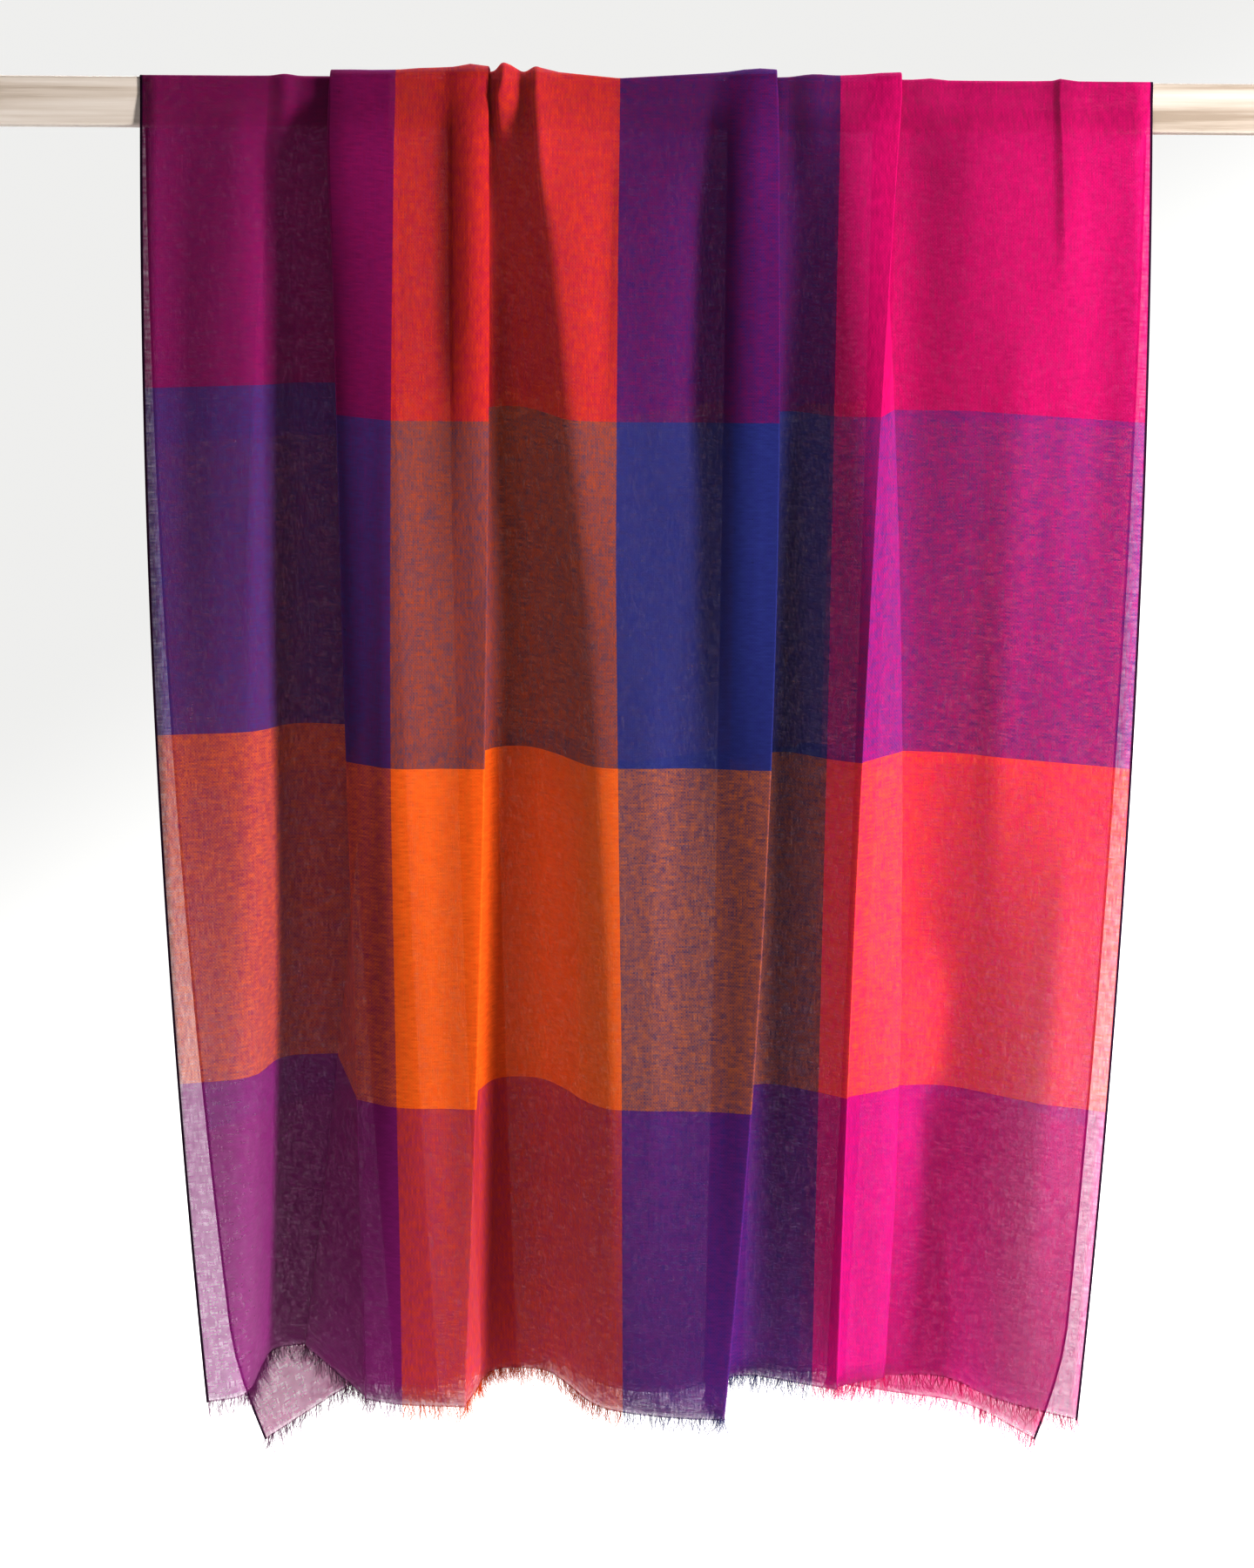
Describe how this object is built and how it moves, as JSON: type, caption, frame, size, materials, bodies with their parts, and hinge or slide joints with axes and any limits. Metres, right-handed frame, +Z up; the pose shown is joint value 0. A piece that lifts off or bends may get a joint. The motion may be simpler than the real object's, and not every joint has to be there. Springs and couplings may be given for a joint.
{
  "type": "scarf on a rail",
  "caption": "Light woven fringed scarf draped over a plain wooden rail, hanging in pleats and soft folds on both sides.",
  "frame": {"origin": "middle of the rail, on its centre line, where the rail is held", "axes": "+X along the rail to the right as seen from the front, -Y to the front, +Z up"},
  "size_m": [1, 0.2225, 1.0489],
  "materials": {
    "wood": "planed, unfinished",
    "cloth": "gauzy plain weave, soft sheen",
    "fringe": "cut warp ends"
  },
  "bodies": {
    "root": {"rail": "wood", "front_fall": "cloth", "crown": "cloth", "back_fall": "cloth", "front_fringe": "fringe", "back_fringe": "fringe"}
  },
  "joints": []
}
